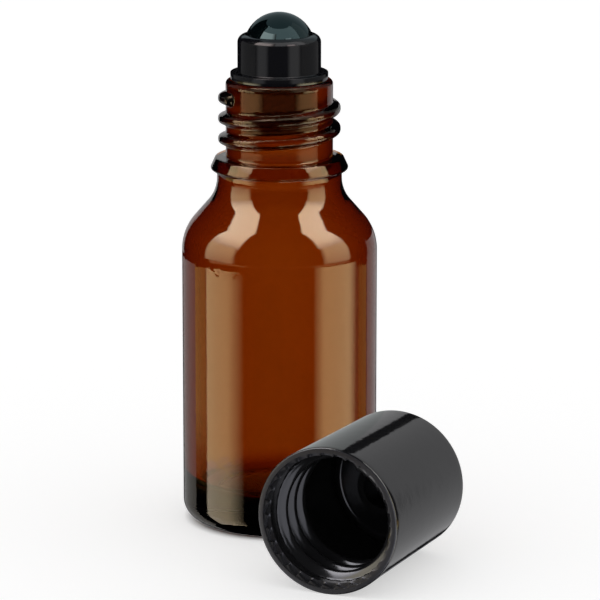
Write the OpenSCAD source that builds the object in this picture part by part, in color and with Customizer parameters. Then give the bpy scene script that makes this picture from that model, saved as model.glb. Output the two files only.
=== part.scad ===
// Roll on bottle: an amber glass bottle with a screw neck, the push-in roller insert, its ball, and the
// screw cap taken off and laid on its side. Millimetres. The origin is the centre of the bottle's base
// on the surface that it stands on, and +Z runs up the bottle's axis.

/* [Bottle body] */
// Diameter of the body
body_d = 28.5; // [27:0.5:32]
// Height at which the straight side ends and the shoulder starts
side_h = 40.5; // [30:0.1:60]
// Radius of the heel, between the side and the base
heel_r = 3; // [2:0.1:4]
// Radius of the round shoulder
shoulder_r = 7.3; // [6:0.1:9]
// Steepest lean of the shoulder away from upright, in degrees
shoulder_lean = 41; // [36:1:46]
// Radius of the hollow curve from the shoulder into the neck
throat_r = 5.4; // [4:0.1:6.5]
// Diameter of the plain neck under the support ring
neck_d = 18.2; // [17.4:0.1:19.4]
// Height of the plain neck under the support ring
neck_h = 1.2; // [0.8:0.1:3]

/* [Glass] */
// Thickness of the side wall
wall_t = 2.4; // [1.6:0.1:2.8]
// Thickness of the base over the ring that it stands on
base_t = 4.8; // [3.5:0.1:6]
// Radius inside, between the wall and the base
inner_heel_r = 2.8; // [2:0.1:4]
// Height of the hollow pressed up into the base
punt_h = 0.9; // [0.5:0.1:1.5]
// Width of the flat ring that the bottle stands on
bearing_w = 1.65; // [1:0.05:2.5]
// Number of small notches round the outer edge of that ring
knurl_count = 64; // [40:1:72]
// Depth of those notches
knurl_depth = 0.2; // [0.1:0.05:0.3]
// Radius of the round tool that cuts those notches
knurl_tool_r = 0.45; // [0.4:0.05:0.5]

/* [Screw neck] */
// Diameter of the support ring at its lower edge
ring_d = 20; // [19.9:0.1:22]
// Lean of the support ring's outer face, in degrees
ring_lean = 16; // [5:1:25]
// Height of the support ring
ring_h = 1.9; // [1.3:0.1:2.4]
// Radius of the support ring's edges
ring_edge_r = 0.35; // [0.2:0.05:0.5]
// Diameter of the neck under the thread
finish_d = 15.6; // [15:0.1:16.2]
// Height of the screw neck, from the top of the support ring to the rim
finish_h = 11.3; // [10.8:0.1:14]
// Diameter of the bore through the screw neck
bore_d = 11; // [10.4:0.1:12]
// Radius of the rim's two edges
rim_r = 0.6; // [0.3:0.05:0.75]

/* [Glass thread] */
// Rise of the thread in one turn
thread_pitch = 3; // [2.8:0.1:3.2]
// Diameter over the thread's crest
thread_d = 17.8; // [17.2:0.1:18.2]
// Width of the thread at its foot
thread_foot_w = 2.05; // [1.8:0.05:2.4]
// Width of the thread at its crest
thread_crest_w = 0.7; // [0.4:0.05:1]
// Number of turns
thread_turns = 2.26; // [1.5:0.01:2.5]
// Height of the thread's lower end above the support ring
thread_start_h = 2.1; // [1.8:0.1:2.8]
// Direction of the thread's lower end, in degrees from +X
thread_start_angle = 120; // [0:5:355]

/* [Roller insert] */
// Diameter of the flange that lies on the glass rim
flange_d = 14.2; // [13.4:0.1:15.4]
// Thickness of the flange
flange_t = 1.15; // [0.8:0.05:1.5]
// Diameter of the cup over the flange
cup_d = 12.12; // [11.9:0.02:12.8]
// Height of the cup's lip above the glass rim
lip_h = 6.6; // [6.2:0.1:7]
// Radius of the lip's outer edge
lip_r = 1.1; // [0.5:0.05:1.15]
// Length of the plug inside the neck
plug_len = 8; // [6:0.1:10]
// Wall of the plug
plug_t = 1.15; // [0.8:0.05:1.3]
// Thickness of the cup's floor, under the ball
floor_t = 1.2; // [0.8:0.1:1.6]
// Number of sealing rings round the plug
seal_ring_count = 3; // [1:1:4]
// Height by which each sealing ring stands out of the plug
seal_ring_h = 0.12; // [0.08:0.02:0.2]
// Width of each sealing ring
seal_ring_w = 0.7; // [0.5:0.1:1]
// Diameter of the hole that feeds the ball
feed_d = 3.2; // [2.4:0.1:3.6]
// Number of channels that lead the liquid up round the ball
channel_count = 4; // [2:1:6]
// Width of each channel
channel_w = 1; // [0.8:0.1:1.2]
// Depth of each channel in the cup's wall
channel_depth = 0.35; // [0.2:0.05:0.4]

/* [Ball] */
// Diameter of the ball
ball_d = 10.4; // [10.1:0.01:10.6]
// Height of the ball's top above the lip
ball_show = 3.2; // [3:0.05:3.6]

/* [Fits] */
// Gap between the ball and its cup
ball_clear = 0.06; // [0.03:0.01:0.09]
// Gap between the plug's sealing rings and the neck's bore
plug_clear = 0.04; // [0.02:0.01:0.08]
// Gap between the glass thread's crest and the cap's bore
cap_bore_clear = 0.25; // [0.15:0.05:0.4]
// Gap between the threads' flanks, and between the cap's thread and the neck
cap_thread_clear = 0.15; // [0.1:0.05:0.25]
// Gap between the support ring and the mouth of the cap when it is screwed on
cap_ring_gap = 0.4; // [0.2:0.1:0.8]

/* [Cap] */
// Diameter of the cap at its mouth
cap_mouth_d = 21; // [20.8:0.1:23]
// Diameter of the cap at its closed end
cap_end_d = 20.4; // [20:0.1:20.8]
// Height of the cap
cap_h = 26; // [24.5:0.1:29]
// Thickness of the closed end
cap_end_t = 1.5; // [1:0.1:2]
// Radius of the closed end's outer edge
cap_edge_r = 1; // [0.4:0.1:1.4]
// Radius of the mouth's outer edge
cap_lip_r = 0.25; // [0.1:0.05:0.3]
// Radius of the bore's corner at the closed end
cap_corner_r = 1; // [0.5:0.1:1.5]
// Number of turns of the thread in the cap
cap_turns = 3; // [2:0.1:3.2]
// Depth of the first turn inside the mouth
cap_thread_start = 2.4; // [2.3:0.1:3]
// Number of ratchet teeth round the mouth
tooth_count = 30; // [20:1:36]
// Height of the teeth along the cap
tooth_len = 1.1; // [0.8:0.1:1.2]
// Height of the teeth towards the cap's axis
tooth_h = 0.6; // [0.3:0.05:0.7]
// Outer diameter of the ring that presses on the ball
press_d = 7.8; // [7:0.1:8.2]
// Wall of that ring
press_t = 0.9; // [0.6:0.1:1.2]
// Gap between that ring and the ball when the cap is screwed on
press_clear = 0.05; // [0:0.01:0.2]

/* [Place of the cap] */
// Direction from the cap's mouth to its closed end, in degrees from +X
cap_azimuth = 66; // [50:1:80]
// Direction from the bottle's axis to the nearest point of the cap, in degrees from straight in front
cap_side_angle = 33; // [15:1:45]
// Gap between the lying cap and the bottle
cap_gap = 0.4; // [0.3:0.1:5]
// Turn of the cap about its own axis, in degrees
cap_turn_angle = 200; // [0:5:355]

/* [Hidden] */
$fn = 128;
// Overrun of every cut past the face that it opens
cut = 0.5;
// Depth by which each thread is rooted in the wall that carries it
root_depth = 0.3;
// Steps in each rounded stretch of an outline, steps of a thread in one turn, and steps of its end
arc_steps = 12;
turn_steps = 40;
end_steps = 5;
// Angle that each end of a thread takes to round off, in degrees
end_angle = 9;
// Outline of a thread's rounded flank: shares of its height and of the way from its foot to its crest
flank_shares = [[0.7, 0.45], [1, 1]];
// Share of its full size that each end of a thread shrinks to
tip_share = 0.15;
// Share of each tooth's spacing over which the tooth rises
tooth_rise_share = 0.7;
// Share of each tooth's spacing that the tooth covers
tooth_cover_share = 0.8;
// Share of the step round the mouth that each tooth's tip fills, so that the tip stays behind the bore
tooth_tip_share = 0.85;

body_r = body_d / 2;
neck_r = neck_d / 2;
finish_r = finish_d / 2;
bore_r = bore_d / 2;
thread_r = thread_d / 2;
cup_r = cup_d / 2;
ball_r = ball_d / 2;

// Centres of the shoulder's and the throat's arcs, and the straight slope between them
shoulder_c = [body_r - shoulder_r, side_h];
slope_low = shoulder_c + shoulder_r * [cos(shoulder_lean), sin(shoulder_lean)];
throat_x = neck_r + throat_r;
slope_high_x = throat_x - throat_r * cos(shoulder_lean);
slope_high_z = slope_low.y + (slope_low.x - slope_high_x) / tan(shoulder_lean);
throat_c = [throat_x, slope_high_z + throat_r * sin(shoulder_lean)];

// Heights up the bottle
ring_low_z = throat_c.y + neck_h;
ring_top_z = ring_low_z + ring_h;
rim_z = ring_top_z + finish_h;
lip_z = rim_z + lip_h;
ball_z = lip_z + ball_show - ball_r;

// Inside of the glass
inner_r = body_r - wall_t;
bearing_out_r = body_r - heel_r;
bearing_in_r = bearing_out_r - bearing_w;
inner_floor_r = inner_r - inner_heel_r;
inner_shoulder_r = shoulder_r - wall_t;
inner_throat_r = throat_r + wall_t;

// Insert: radii of the plug, and the height of the cup's floor over the feed hole
seal_r = bore_r - plug_clear;
plug_r = seal_r - seal_ring_h;
plug_inner_r = plug_r - plug_t;
cup_hollow_r = ball_r + ball_clear;
cup_floor_z = ball_z - sqrt(cup_hollow_r * cup_hollow_r - feed_d * feed_d / 4);
plug_roof_z = cup_floor_z - floor_t;

// Cap: radii and depths measured from the mouth
cap_mouth_r = cap_mouth_d / 2;
cap_end_r = cap_end_d / 2;
cap_bore_r = thread_r + cap_bore_clear;
cap_tooth_r = cap_bore_r + tooth_h;
cap_crest_r = finish_r + cap_thread_clear;
cap_roof = cap_h - cap_end_t;
cap_mouth_on_z = ring_top_z + cap_ring_gap;
press_r = press_d / 2;
press_inner_r = press_r - press_t;
press_low = ball_z + sqrt(ball_r * ball_r - press_inner_r * press_inner_r) + press_clear - cap_mouth_on_z;
cap_foot_w = thread_pitch - thread_crest_w - 2 * cap_thread_clear;
cap_crest_w = thread_pitch - thread_foot_w - 2 * cap_thread_clear;

// The lying cap touches the ground along its tapered side, and the edge of its closed end is what comes
// nearest to the bottle. Seen from above: that edge, the middle of the closed end, and of the mouth.
cap_tilt = atan((cap_mouth_r - cap_end_r) / cap_h);
cap_near = (body_r + cap_gap) * [sin(cap_side_angle), -cos(cap_side_angle)];
cap_end_c = cap_near + cap_end_r * [sin(cap_azimuth), -cos(cap_azimuth)];
cap_mouth_c = cap_end_c - cap_h * cos(cap_tilt) * [cos(cap_azimuth), sin(cap_azimuth)];
cap_place = [cap_mouth_c.x, cap_mouth_c.y, cap_mouth_r * cos(cap_tilt)];

// Points of an arc about c, from angle a to angle b
function arc(c, r, a, b) =
    [for (i = [0:arc_steps]) let(t = a + (b - a) * i / arc_steps) c + r * [cos(t), sin(t)]];

// Points of a shallow dome from its top on the axis to its edge, or back where back is true
function dome(edge_r, edge_z, rise, back = false) =
    let(big_r = (edge_r * edge_r + rise * rise) / (2 * rise),
        span = asin(edge_r / big_r),
        c = [0, edge_z + rise - big_r])
    back ? arc(c, big_r, 90 - span, 90) : arc(c, big_r, 90, 90 - span);

// Section of a thread in share form: [distance from the wall, place along the axis], foot to foot
function thread_section(height, foot_w, crest_w) =
    let(side = [for (s = flank_shares) [s.x * height, (foot_w + (crest_w - foot_w) * s.y) / 2]],
        n = len(side))
    concat([[-root_depth, -foot_w / 2]],
           [for (p = side) [p.x, -p.y]],
           [for (i = [0:n - 1]) side[n - 1 - i]],
           [[-root_depth, foot_w / 2]]);

// A thread is one tube swept up a helix. It stands out of a wall of radius wall_r, or into its bore
// where inward is true, and each end shrinks to a blunt round tip.
module thread(wall_r, height, foot_w, crest_w, pitch, turns, inward = false) {
    section = thread_section(height, foot_w, crest_w);
    n = len(section);
    total = turns * 360;
    middle = [for (i = [1:ceil(turns * turn_steps) - 1]) i * 360 / turn_steps];
    run = [for (a = middle) if (a > end_angle && a < total - end_angle) a];
    tip = [for (i = [0:end_steps]) end_angle * (1 - cos(90 * i / end_steps))];
    back_tip = [for (i = [0:end_steps]) total - tip[end_steps - i]];
    angles = concat(tip, run, back_tip);
    way = inward ? -1 : 1;
    points = [for (a = angles)
        let(from_end = min(a, total - a, end_angle),
            left = 1 - from_end / end_angle,
            size = max(sqrt(1 - left * left), tip_share))
        for (p = section)
            let(r = wall_r + way * (p.x < 0 ? p.x : p.x * size))
            [r * cos(a), r * sin(a), pitch * a / 360 + p.y * size]];
    rings = len(angles);
    sides = [for (k = [0:rings - 2]) for (j = [0:n - 1])
        let(a = k * n + j, b = k * n + (j + 1) % n, c = b + n, d = a + n)
        each (inward ? [[a, c, b], [a, d, c]] : [[a, b, c], [a, c, d]])];
    first = [for (j = [0:n - 1]) inward ? j : n - 1 - j];
    last = [for (j = [0:n - 1]) (rings - 1) * n + (inward ? n - 1 - j : j)];
    polyhedron(points, concat([first], sides, [last]));
}

// Section through the glass, from the hollow under the base round to the cavity's floor
module bottle_section() {
    ring_r = ring_d / 2;
    lean_x = ring_h * tan(ring_lean);
    polygon(concat(
        dome(bearing_in_r, 0, punt_h),
        arc([bearing_out_r, heel_r], heel_r, -90, 0),
        arc(shoulder_c, shoulder_r, 0, shoulder_lean),
        arc(throat_c, throat_r, 180 + shoulder_lean, 180),
        [[neck_r, ring_low_z]],
        arc([ring_r - ring_edge_r, ring_low_z + ring_edge_r], ring_edge_r, -90, ring_lean),
        arc([ring_r - lean_x - ring_edge_r, ring_top_z - ring_edge_r], ring_edge_r, ring_lean, 90),
        [[finish_r, ring_top_z]],
        arc([finish_r - rim_r, rim_z - rim_r], rim_r, 0, 90),
        arc([bore_r + rim_r, rim_z - rim_r], rim_r, 90, 180),
        [[bore_r, ring_top_z]],
        arc(throat_c, inner_throat_r, 180, 180 + shoulder_lean),
        arc(shoulder_c, inner_shoulder_r, shoulder_lean, 0),
        arc([inner_floor_r, base_t + inner_heel_r], inner_heel_r, 0, -90),
        dome(inner_floor_r, base_t, punt_h, true)));
}

// The notches round the outer edge of the ring that the bottle stands on
module knurl() {
    for (i = [0:knurl_count - 1])
        rotate([0, 90, i * 360 / knurl_count])
            translate([knurl_tool_r - knurl_depth, 0, bearing_out_r - bearing_w / 2])
                cylinder(r = knurl_tool_r, h = heel_r);
}

module bottle() {
    color([0.42, 0.15, 0.02, 0.75])
    union() {
        difference() {
            rotate_extrude() bottle_section();
            knurl();
        }
        translate([0, 0, ring_top_z + thread_start_h])
            rotate([0, 0, thread_start_angle])
                thread(finish_r, thread_r - finish_r, thread_foot_w, thread_crest_w,
                       thread_pitch, thread_turns);
    }
}

// Section through the insert: the cup over the flange, and the hollow plug under it
module housing_section() {
    bead = seal_ring_w / 2;
    spacing = plug_len / (seal_ring_count + 1);
    edge_r = flange_t / 4;
    difference() {
        polygon(concat(
            [[0, rim_z - plug_len]],
            [[plug_r - plug_t / 2, rim_z - plug_len]],
            [[plug_r, rim_z - plug_len + plug_t / 2]],
            [for (i = [1:seal_ring_count])
                let(z = rim_z - plug_len + i * spacing)
                each [[plug_r, z - bead], [seal_r, z], [plug_r, z + bead]]],
            [[plug_r, rim_z]],
            [[flange_d / 2, rim_z]],
            arc([flange_d / 2 - edge_r, rim_z + flange_t - edge_r], edge_r, 0, 90),
            arc([cup_r + edge_r, rim_z + flange_t + edge_r], edge_r, 270, 180),
            arc([cup_r - lip_r, lip_z - lip_r], lip_r, 0, 90),
            [[0, lip_z]]));
        translate([0, ball_z]) circle(r = cup_hollow_r);
        translate([0, rim_z - plug_len - cut]) square([feed_d / 2, plug_len + lip_h]);
        translate([0, rim_z - plug_len - cut])
            square([plug_inner_r, plug_roof_z - rim_z + plug_len + cut]);
    }
}

// The grooves in the cup that lead the liquid from the feed hole up round the ball
module feed_channels() {
    channel_r = cup_hollow_r + channel_depth;
    for (i = [0:channel_count - 1])
        rotate([0, 0, i * 360 / channel_count])
            intersection() {
                translate([0, 0, ball_z]) sphere(r = channel_r);
                translate([0, -channel_w / 2, ball_z - channel_r])
                    cube([channel_r, channel_w, channel_r]);
            }
}

module roller_housing() {
    color([0.05, 0.05, 0.06])
    difference() {
        rotate_extrude()
            intersection() {
                housing_section();
                translate([0, rim_z - plug_len - cut]) square([flange_d, plug_len + lip_h + 2 * cut]);
            }
        feed_channels();
    }
}

module roller_ball() {
    color([0.1, 0.17, 0.18])
    translate([0, 0, ball_z]) sphere(r = ball_r);
}

// Section through the cap, mouth down
module cap_section() {
    polygon(concat(
        [[cap_tooth_r, 0]],
        arc([cap_mouth_r - cap_lip_r, cap_lip_r], cap_lip_r, -90, 0),
        arc([cap_end_r - cap_edge_r, cap_h - cap_edge_r], cap_edge_r, 0, 90),
        [[0, cap_h], [0, cap_roof]],
        [[press_inner_r, cap_roof], [press_inner_r, press_low]],
        [[press_r, press_low], [press_r, cap_roof]],
        arc([cap_bore_r - cap_corner_r, cap_roof - cap_corner_r], cap_corner_r, 90, 0),
        [[cap_bore_r, tooth_len], [cap_tooth_r, tooth_len]]));
}

// One ratchet tooth: it rises slowly from the wall and drops back to it sharply
module tooth() {
    spacing = 360 / tooth_count;
    rise = spacing * tooth_rise_share;
    cover = spacing * tooth_cover_share;
    wall_r = cap_tooth_r + root_depth;
    tip_r = cap_tooth_r - tooth_h * tooth_tip_share;
    linear_extrude(tooth_len + root_depth)
        polygon([wall_r * [cos(0), sin(0)],
                 wall_r * [cos(cover), sin(cover)],
                 tip_r * [cos(rise), sin(rise)]]);
}

module cap_upright() {
    union() {
        rotate_extrude() cap_section();
        translate([0, 0, cap_lip_r])
            for (i = [0:tooth_count - 1]) rotate([0, 0, i * 360 / tooth_count]) tooth();
        translate([0, 0, cap_thread_start])
            thread(cap_bore_r, cap_bore_r - cap_crest_r, cap_foot_w, cap_crest_w,
                   thread_pitch, cap_turns, inward = true);
    }
}

module cap() {
    color([0.09, 0.09, 0.1])
    translate(cap_place)
        rotate([0, 90 + cap_tilt, cap_azimuth])
            rotate([0, 0, cap_turn_angle])
                cap_upright();
}

bottle();
roller_housing();
roller_ball();
cap();
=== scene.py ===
"""Looks of a roll on bottle: its amber glass, the roller insert with its ball, and the cap lying beside it.

The pieces hold their sizes in millimetres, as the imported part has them, and their meshes are made in
metres. The studio, with its camera, floor and cards, is measured in metres.
"""
import logging
import math
from dataclasses import dataclass, field
from enum import Enum, IntEnum
from functools import cache
from typing import Callable

import bpy
import numpy as np
from mathutils import Matrix, Vector


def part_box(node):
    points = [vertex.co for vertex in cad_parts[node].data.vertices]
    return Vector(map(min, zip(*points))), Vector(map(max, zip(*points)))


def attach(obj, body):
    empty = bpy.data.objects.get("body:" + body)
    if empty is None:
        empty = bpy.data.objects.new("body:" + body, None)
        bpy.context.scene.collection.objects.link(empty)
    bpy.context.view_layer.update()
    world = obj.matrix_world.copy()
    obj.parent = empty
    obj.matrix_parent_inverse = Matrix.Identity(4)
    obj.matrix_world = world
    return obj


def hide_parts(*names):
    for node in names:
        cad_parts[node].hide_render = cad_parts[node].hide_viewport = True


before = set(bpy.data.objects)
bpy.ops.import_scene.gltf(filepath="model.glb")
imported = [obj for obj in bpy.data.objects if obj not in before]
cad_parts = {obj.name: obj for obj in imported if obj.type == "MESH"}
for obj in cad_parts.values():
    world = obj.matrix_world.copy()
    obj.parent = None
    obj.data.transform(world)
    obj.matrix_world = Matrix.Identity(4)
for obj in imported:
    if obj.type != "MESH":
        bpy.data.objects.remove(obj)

MM = 0.001
SAME_PLACE = 1e-6
FADE = "fade"
DULL = "dull"
log = logging.getLogger("roll_on_bottle")

Colour = tuple[float, float, float]
Span = tuple[float, float]
Places = tuple[np.ndarray, np.ndarray]
Shift = Callable[[np.ndarray, np.ndarray, np.ndarray], Places]


@dataclass
class Outline:
    """Half section of a turned piece, as points (radius, height) in millimetres in order round it."""

    points: list[Span] = field(default_factory=list)

    def to(self, radius: float, height: float, steps: int = 1) -> "Outline":
        """Goes straight to a point.

        Args:
            radius: Distance of the point from the axis.
            height: Height of the point.
            steps: Number of equal steps on the way.

        Returns:
            The outline itself.
        """
        last = self.points[-1] if self.points else (radius, height)
        for i in range(1, steps + 1):
            share = i / steps
            self.points.append((last[0] + (radius - last[0]) * share, last[1] + (height - last[1]) * share))
        return self

    def arc(self, centre: Span, radius: float, start: float, stop: float, steps: int = 12) -> "Outline":
        """Follows an arc.

        Args:
            centre: Centre of the arc, as radius and height.
            radius: Radius of the arc.
            start: Angle at which it starts, in degrees from outward.
            stop: Angle at which it stops.
            steps: Number of steps along it.

        Returns:
            The outline itself.
        """
        for i in range(steps + 1):
            angle = math.radians(start + (stop - start) * i / steps)
            self.points.append((centre[0] + radius * math.cos(angle), centre[1] + radius * math.sin(angle)))
        return self

    def dome(self, edge_radius: float, edge_height: float, rise: float, inward: bool,
             steps: int = 10) -> "Outline":
        """Follows a shallow dome between the axis and its edge.

        Args:
            edge_radius: Radius of the dome's edge.
            edge_height: Height of that edge.
            rise: Height of the dome's top over its edge.
            inward: True to go from the edge to the axis, False to go outward.
            steps: Number of steps along it.

        Returns:
            The outline itself.
        """
        big = (edge_radius ** 2 + rise ** 2) / (2 * rise)
        span = math.degrees(math.asin(edge_radius / big))
        ends = (90 - span, 90) if inward else (90, 90 - span)
        return self.arc((0, edge_height + rise - big), big, *ends, steps=steps)


@dataclass(frozen=True)
class ThreadForm:
    """A screw thread with a rounded back and blunt round ends, as a height over the wall that carries it.

    Beside the thread its height falls under the wall, to floor_heights times its own height at most, and
    the fillet then rounds its foot. Places further off than farthest half feet count as that far off.
    """

    wall_radius: float
    height: float
    half_foot: float
    pitch: float
    turns: float
    start_height: float
    start_angle: float
    fullness: float = 3.0
    foot_fillet: float = 0.16
    floor_heights: float = 10.0
    farthest: float = 3.0

    def rise(self, angle: np.ndarray, level: np.ndarray) -> np.ndarray:
        """Height of the thread at each place on the wall.

        Args:
            angle: Angle round the axis, in radians.
            level: Height along the axis, in millimetres.

        Returns:
            The thread's height over the wall at each place.
        """
        whole = self.turns * 2 * math.pi
        end = self.half_foot / self.wall_radius
        local = np.mod(angle - math.radians(self.start_angle), 2 * math.pi)
        form = np.full(np.broadcast(angle, level).shape, -self.floor_heights * self.height)
        for turn in range(-1, math.ceil(self.turns) + 1):
            swept = local + turn * 2 * math.pi
            along = np.clip(swept, end, whole - end)
            past = (swept - along) * self.wall_radius
            across = level - self.start_height - self.pitch * along / (2 * math.pi)
            away = np.minimum(np.hypot(across, past) / self.half_foot, self.farthest)
            form = np.maximum(form, self.height * (1 - away ** self.fullness))
        return (form + np.sqrt(form ** 2 + self.foot_fillet ** 2)) / 2


def in_scene(name: str, data: bpy.types.Mesh | bpy.types.Camera) -> bpy.types.Object:
    """Puts new data into the scene.

    Args:
        name: Name of the object.
        data: What it shows.

    Returns:
        The new object.
    """
    made = bpy.data.objects.new(name, data)
    bpy.context.scene.collection.objects.link(made)
    return made


def moved(points: np.ndarray, place: Matrix) -> np.ndarray:
    """Moves points.

    Args:
        points: The points, one in a row.
        place: The move.

    Returns:
        The moved points.
    """
    turn = np.array(place)
    return points @ turn[:3, :3].T + turn[:3, 3]


def skin_faces(rows: int, columns: int, on_axis: bool) -> list[list[int]]:
    """Joins the points of a turned skin, which are numbered row by row.

    Args:
        rows: Number of rows of points.
        columns: Number of points in a row.
        on_axis: True if two more points close the skin on the axis. Otherwise its last row meets its first.

    Returns:
        The point numbers of each face.
    """
    index = np.arange(rows * columns).reshape(rows, columns)
    if not on_axis:
        index = np.vstack([index, index[:1]])
    following = np.roll(index, -1, axis=1)
    corners = [index[:-1], following[:-1], following[1:], index[1:]]
    faces = np.stack(corners, axis=2).reshape(-1, 4).tolist()
    if on_axis:
        first = rows * columns
        faces += [[first, b, a] for a, b in zip(index[0], following[0])]
        faces += [[first + 1, a, b] for a, b in zip(index[-1], following[-1])]
    return faces


def turned_piece(name: str, outline: Outline, columns: int, shift: Shift | None = None,
                 place: Matrix | None = None, sharp_angle: float = 35) -> bpy.types.Object:
    """Makes a closed mesh by turning an outline about the Z axis.

    Args:
        name: Name of the piece.
        outline: The half section. It starts and ends on the axis, or closes on itself.
        columns: Number of faces round the axis.
        shift: Function of radius, height and angle that gives each point its final radius and height.
        place: Where the piece stands, in millimetres.
        sharp_angle: Edges that turn by more than this, in degrees, are shaded as edges.

    Returns:
        The new object, with its place in its mesh.
    """
    section = np.array(outline.points)
    section = section[np.r_[True, np.hypot(*np.diff(section, axis=0).T) > SAME_PLACE]]
    on_axis = max(section[0, 0], section[-1, 0]) < SAME_PLACE
    rows = section[1:-1] if on_axis else section
    angle = np.tile(np.arange(columns) * 2 * math.pi / columns, (len(rows), 1))
    radius = np.repeat(rows[:, :1], columns, axis=1)
    height = np.repeat(rows[:, 1:], columns, axis=1)
    if shift is not None:
        radius, height = shift(radius, height, angle)
    grid = np.stack([radius * np.cos(angle), radius * np.sin(angle), height], axis=2).reshape(-1, 3)
    if on_axis:
        grid = np.vstack([grid, [0, 0, section[0, 1]], [0, 0, section[-1, 1]]])
    if place is not None:
        grid = moved(grid, place)
    mesh = bpy.data.meshes.new(name)
    mesh.from_pydata((grid * MM).tolist(), [], skin_faces(len(rows), columns, on_axis))
    mesh.validate()
    mesh.shade_smooth()
    mesh.set_sharp_from_angle(angle=math.radians(sharp_angle))
    return in_scene(name, mesh)


def math_node(nodes: bpy.types.Nodes, operation: str,
              values: dict[int, float] | None = None) -> bpy.types.Node:
    """Adds a node that works out a number.

    Args:
        nodes: Nodes of the material, world or group.
        operation: What it works out.
        values: Fixed value of each input that has one, by the input's number.

    Returns:
        The new node.
    """
    node = nodes.new("ShaderNodeMath")
    node.operation = operation
    for number, value in (values or {}).items():
        node.inputs[number].default_value = value
    return node


class Pattern:
    """Shader node groups that the materials share. Each is made once.

    FINER says how much finer the ripple's second noise is than its first, TOUCHED between which levels of
    the noise the roughness changes, and MIDDLE at which level a tone stays as it is.
    """

    FINER = 5.0
    TOUCHED = (0.35, 0.65)
    MIDDLE = 0.5

    @staticmethod
    def start(name: str, inputs: dict[str, float], output: str, kind: str) -> bpy.types.NodeTree:
        """Opens a new group with number inputs, one output and a position of its own.

        Args:
            name: Name of the group.
            inputs: Default value of each input.
            output: Name of its output.
            kind: Socket type of the output.

        Returns:
            The new group.
        """
        group = bpy.data.node_groups.new(name, "ShaderNodeTree")
        for label, value in inputs.items():
            socket = group.interface.new_socket(label, in_out="INPUT", socket_type="NodeSocketFloat")
            socket.default_value = value
        group.interface.new_socket(output, in_out="OUTPUT", socket_type=kind)
        group.nodes.new("NodeGroupInput").name = "in"
        group.nodes.new("NodeGroupOutput").name = "out"
        group.nodes.new("ShaderNodeTexCoord").name = "where"
        return group

    @staticmethod
    def noise(group: bpy.types.NodeTree, detail: float = 2.0) -> bpy.types.Node:
        """Adds noise that keeps its place on the object.

        Args:
            group: The group that gets it.
            detail: How many finer layers it has.

        Returns:
            The noise node.
        """
        noise = group.nodes.new("ShaderNodeTexNoise")
        noise.inputs["Detail"].default_value = detail
        group.links.new(group.nodes["where"].outputs["Object"], noise.inputs["Vector"])
        return noise

    @classmethod
    @cache
    def ripple(cls) -> bpy.types.NodeTree:
        """Height of the shallow unevenness of a surface that has cooled against a mould.

        Returns:
            The group, which mixes a broad noise with one that is FINER times as fine.
        """
        group = cls.start("surface_ripple", {"Scale": 300.0, "Fine share": 0.3}, "Height", "NodeSocketFloat")
        nodes, links = group.nodes, group.links
        broad, fine = cls.noise(group, detail=1.5), cls.noise(group, detail=1.5)
        finer = math_node(nodes, "MULTIPLY", {1: cls.FINER})
        both = nodes.new("ShaderNodeMix")
        links.new(nodes["in"].outputs["Scale"], broad.inputs["Scale"])
        links.new(nodes["in"].outputs["Scale"], finer.inputs[0])
        links.new(finer.outputs[0], fine.inputs["Scale"])
        links.new(nodes["in"].outputs["Fine share"], both.inputs["Factor"])
        links.new(broad.outputs["Fac"], both.inputs["A"])
        links.new(fine.outputs["Fac"], both.inputs["B"])
        links.new(both.outputs["Result"], nodes["out"].inputs["Height"])
        return group

    @classmethod
    @cache
    def handling(cls) -> bpy.types.NodeTree:
        """Roughness that wanders between two values, as where a surface has been touched and wiped.

        Returns:
            The group, which spreads the noise levels between the TOUCHED ones over Low to High.
        """
        group = cls.start("handling_marks", {"Scale": 120.0, "Low": 0.05, "High": 0.1},
                          "Roughness", "NodeSocketFloat")
        nodes, links = group.nodes, group.links
        noise = cls.noise(group, detail=3.0)
        spread = nodes.new("ShaderNodeMapRange")
        spread.inputs["From Min"].default_value, spread.inputs["From Max"].default_value = cls.TOUCHED
        links.new(nodes["in"].outputs["Scale"], noise.inputs["Scale"])
        links.new(noise.outputs["Fac"], spread.inputs["Value"])
        links.new(nodes["in"].outputs["Low"], spread.inputs["To Min"])
        links.new(nodes["in"].outputs["High"], spread.inputs["To Max"])
        links.new(spread.outputs["Result"], nodes["out"].inputs["Roughness"])
        return group

    @classmethod
    @cache
    def tone(cls) -> bpy.types.NodeTree:
        """A colour that varies a little in lightness, as moulded plastic does.

        Returns:
            The group, which lightens and darkens its Colour about the MIDDLE level of the noise.
        """
        group = cls.start("moulded_tone", {"Scale": 90.0, "Spread": 0.1}, "Colour", "NodeSocketColor")
        base = group.interface.new_socket("Colour", in_out="INPUT", socket_type="NodeSocketColor")
        base.default_value = (1, 1, 1, 1)
        nodes, links = group.nodes, group.links
        noise = cls.noise(group)
        centred = math_node(nodes, "SUBTRACT", {1: cls.MIDDLE})
        scaled = math_node(nodes, "MULTIPLY_ADD", {2: 1.0})
        tint = nodes.new("ShaderNodeHueSaturation")
        links.new(nodes["in"].outputs["Scale"], noise.inputs["Scale"])
        links.new(noise.outputs["Fac"], centred.inputs[0])
        links.new(centred.outputs[0], scaled.inputs[0])
        links.new(nodes["in"].outputs["Spread"], scaled.inputs[1])
        links.new(scaled.outputs[0], tint.inputs["Value"])
        links.new(nodes["in"].outputs["Colour"], tint.inputs["Color"])
        links.new(tint.outputs["Color"], nodes["out"].inputs["Colour"])
        return group


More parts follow.
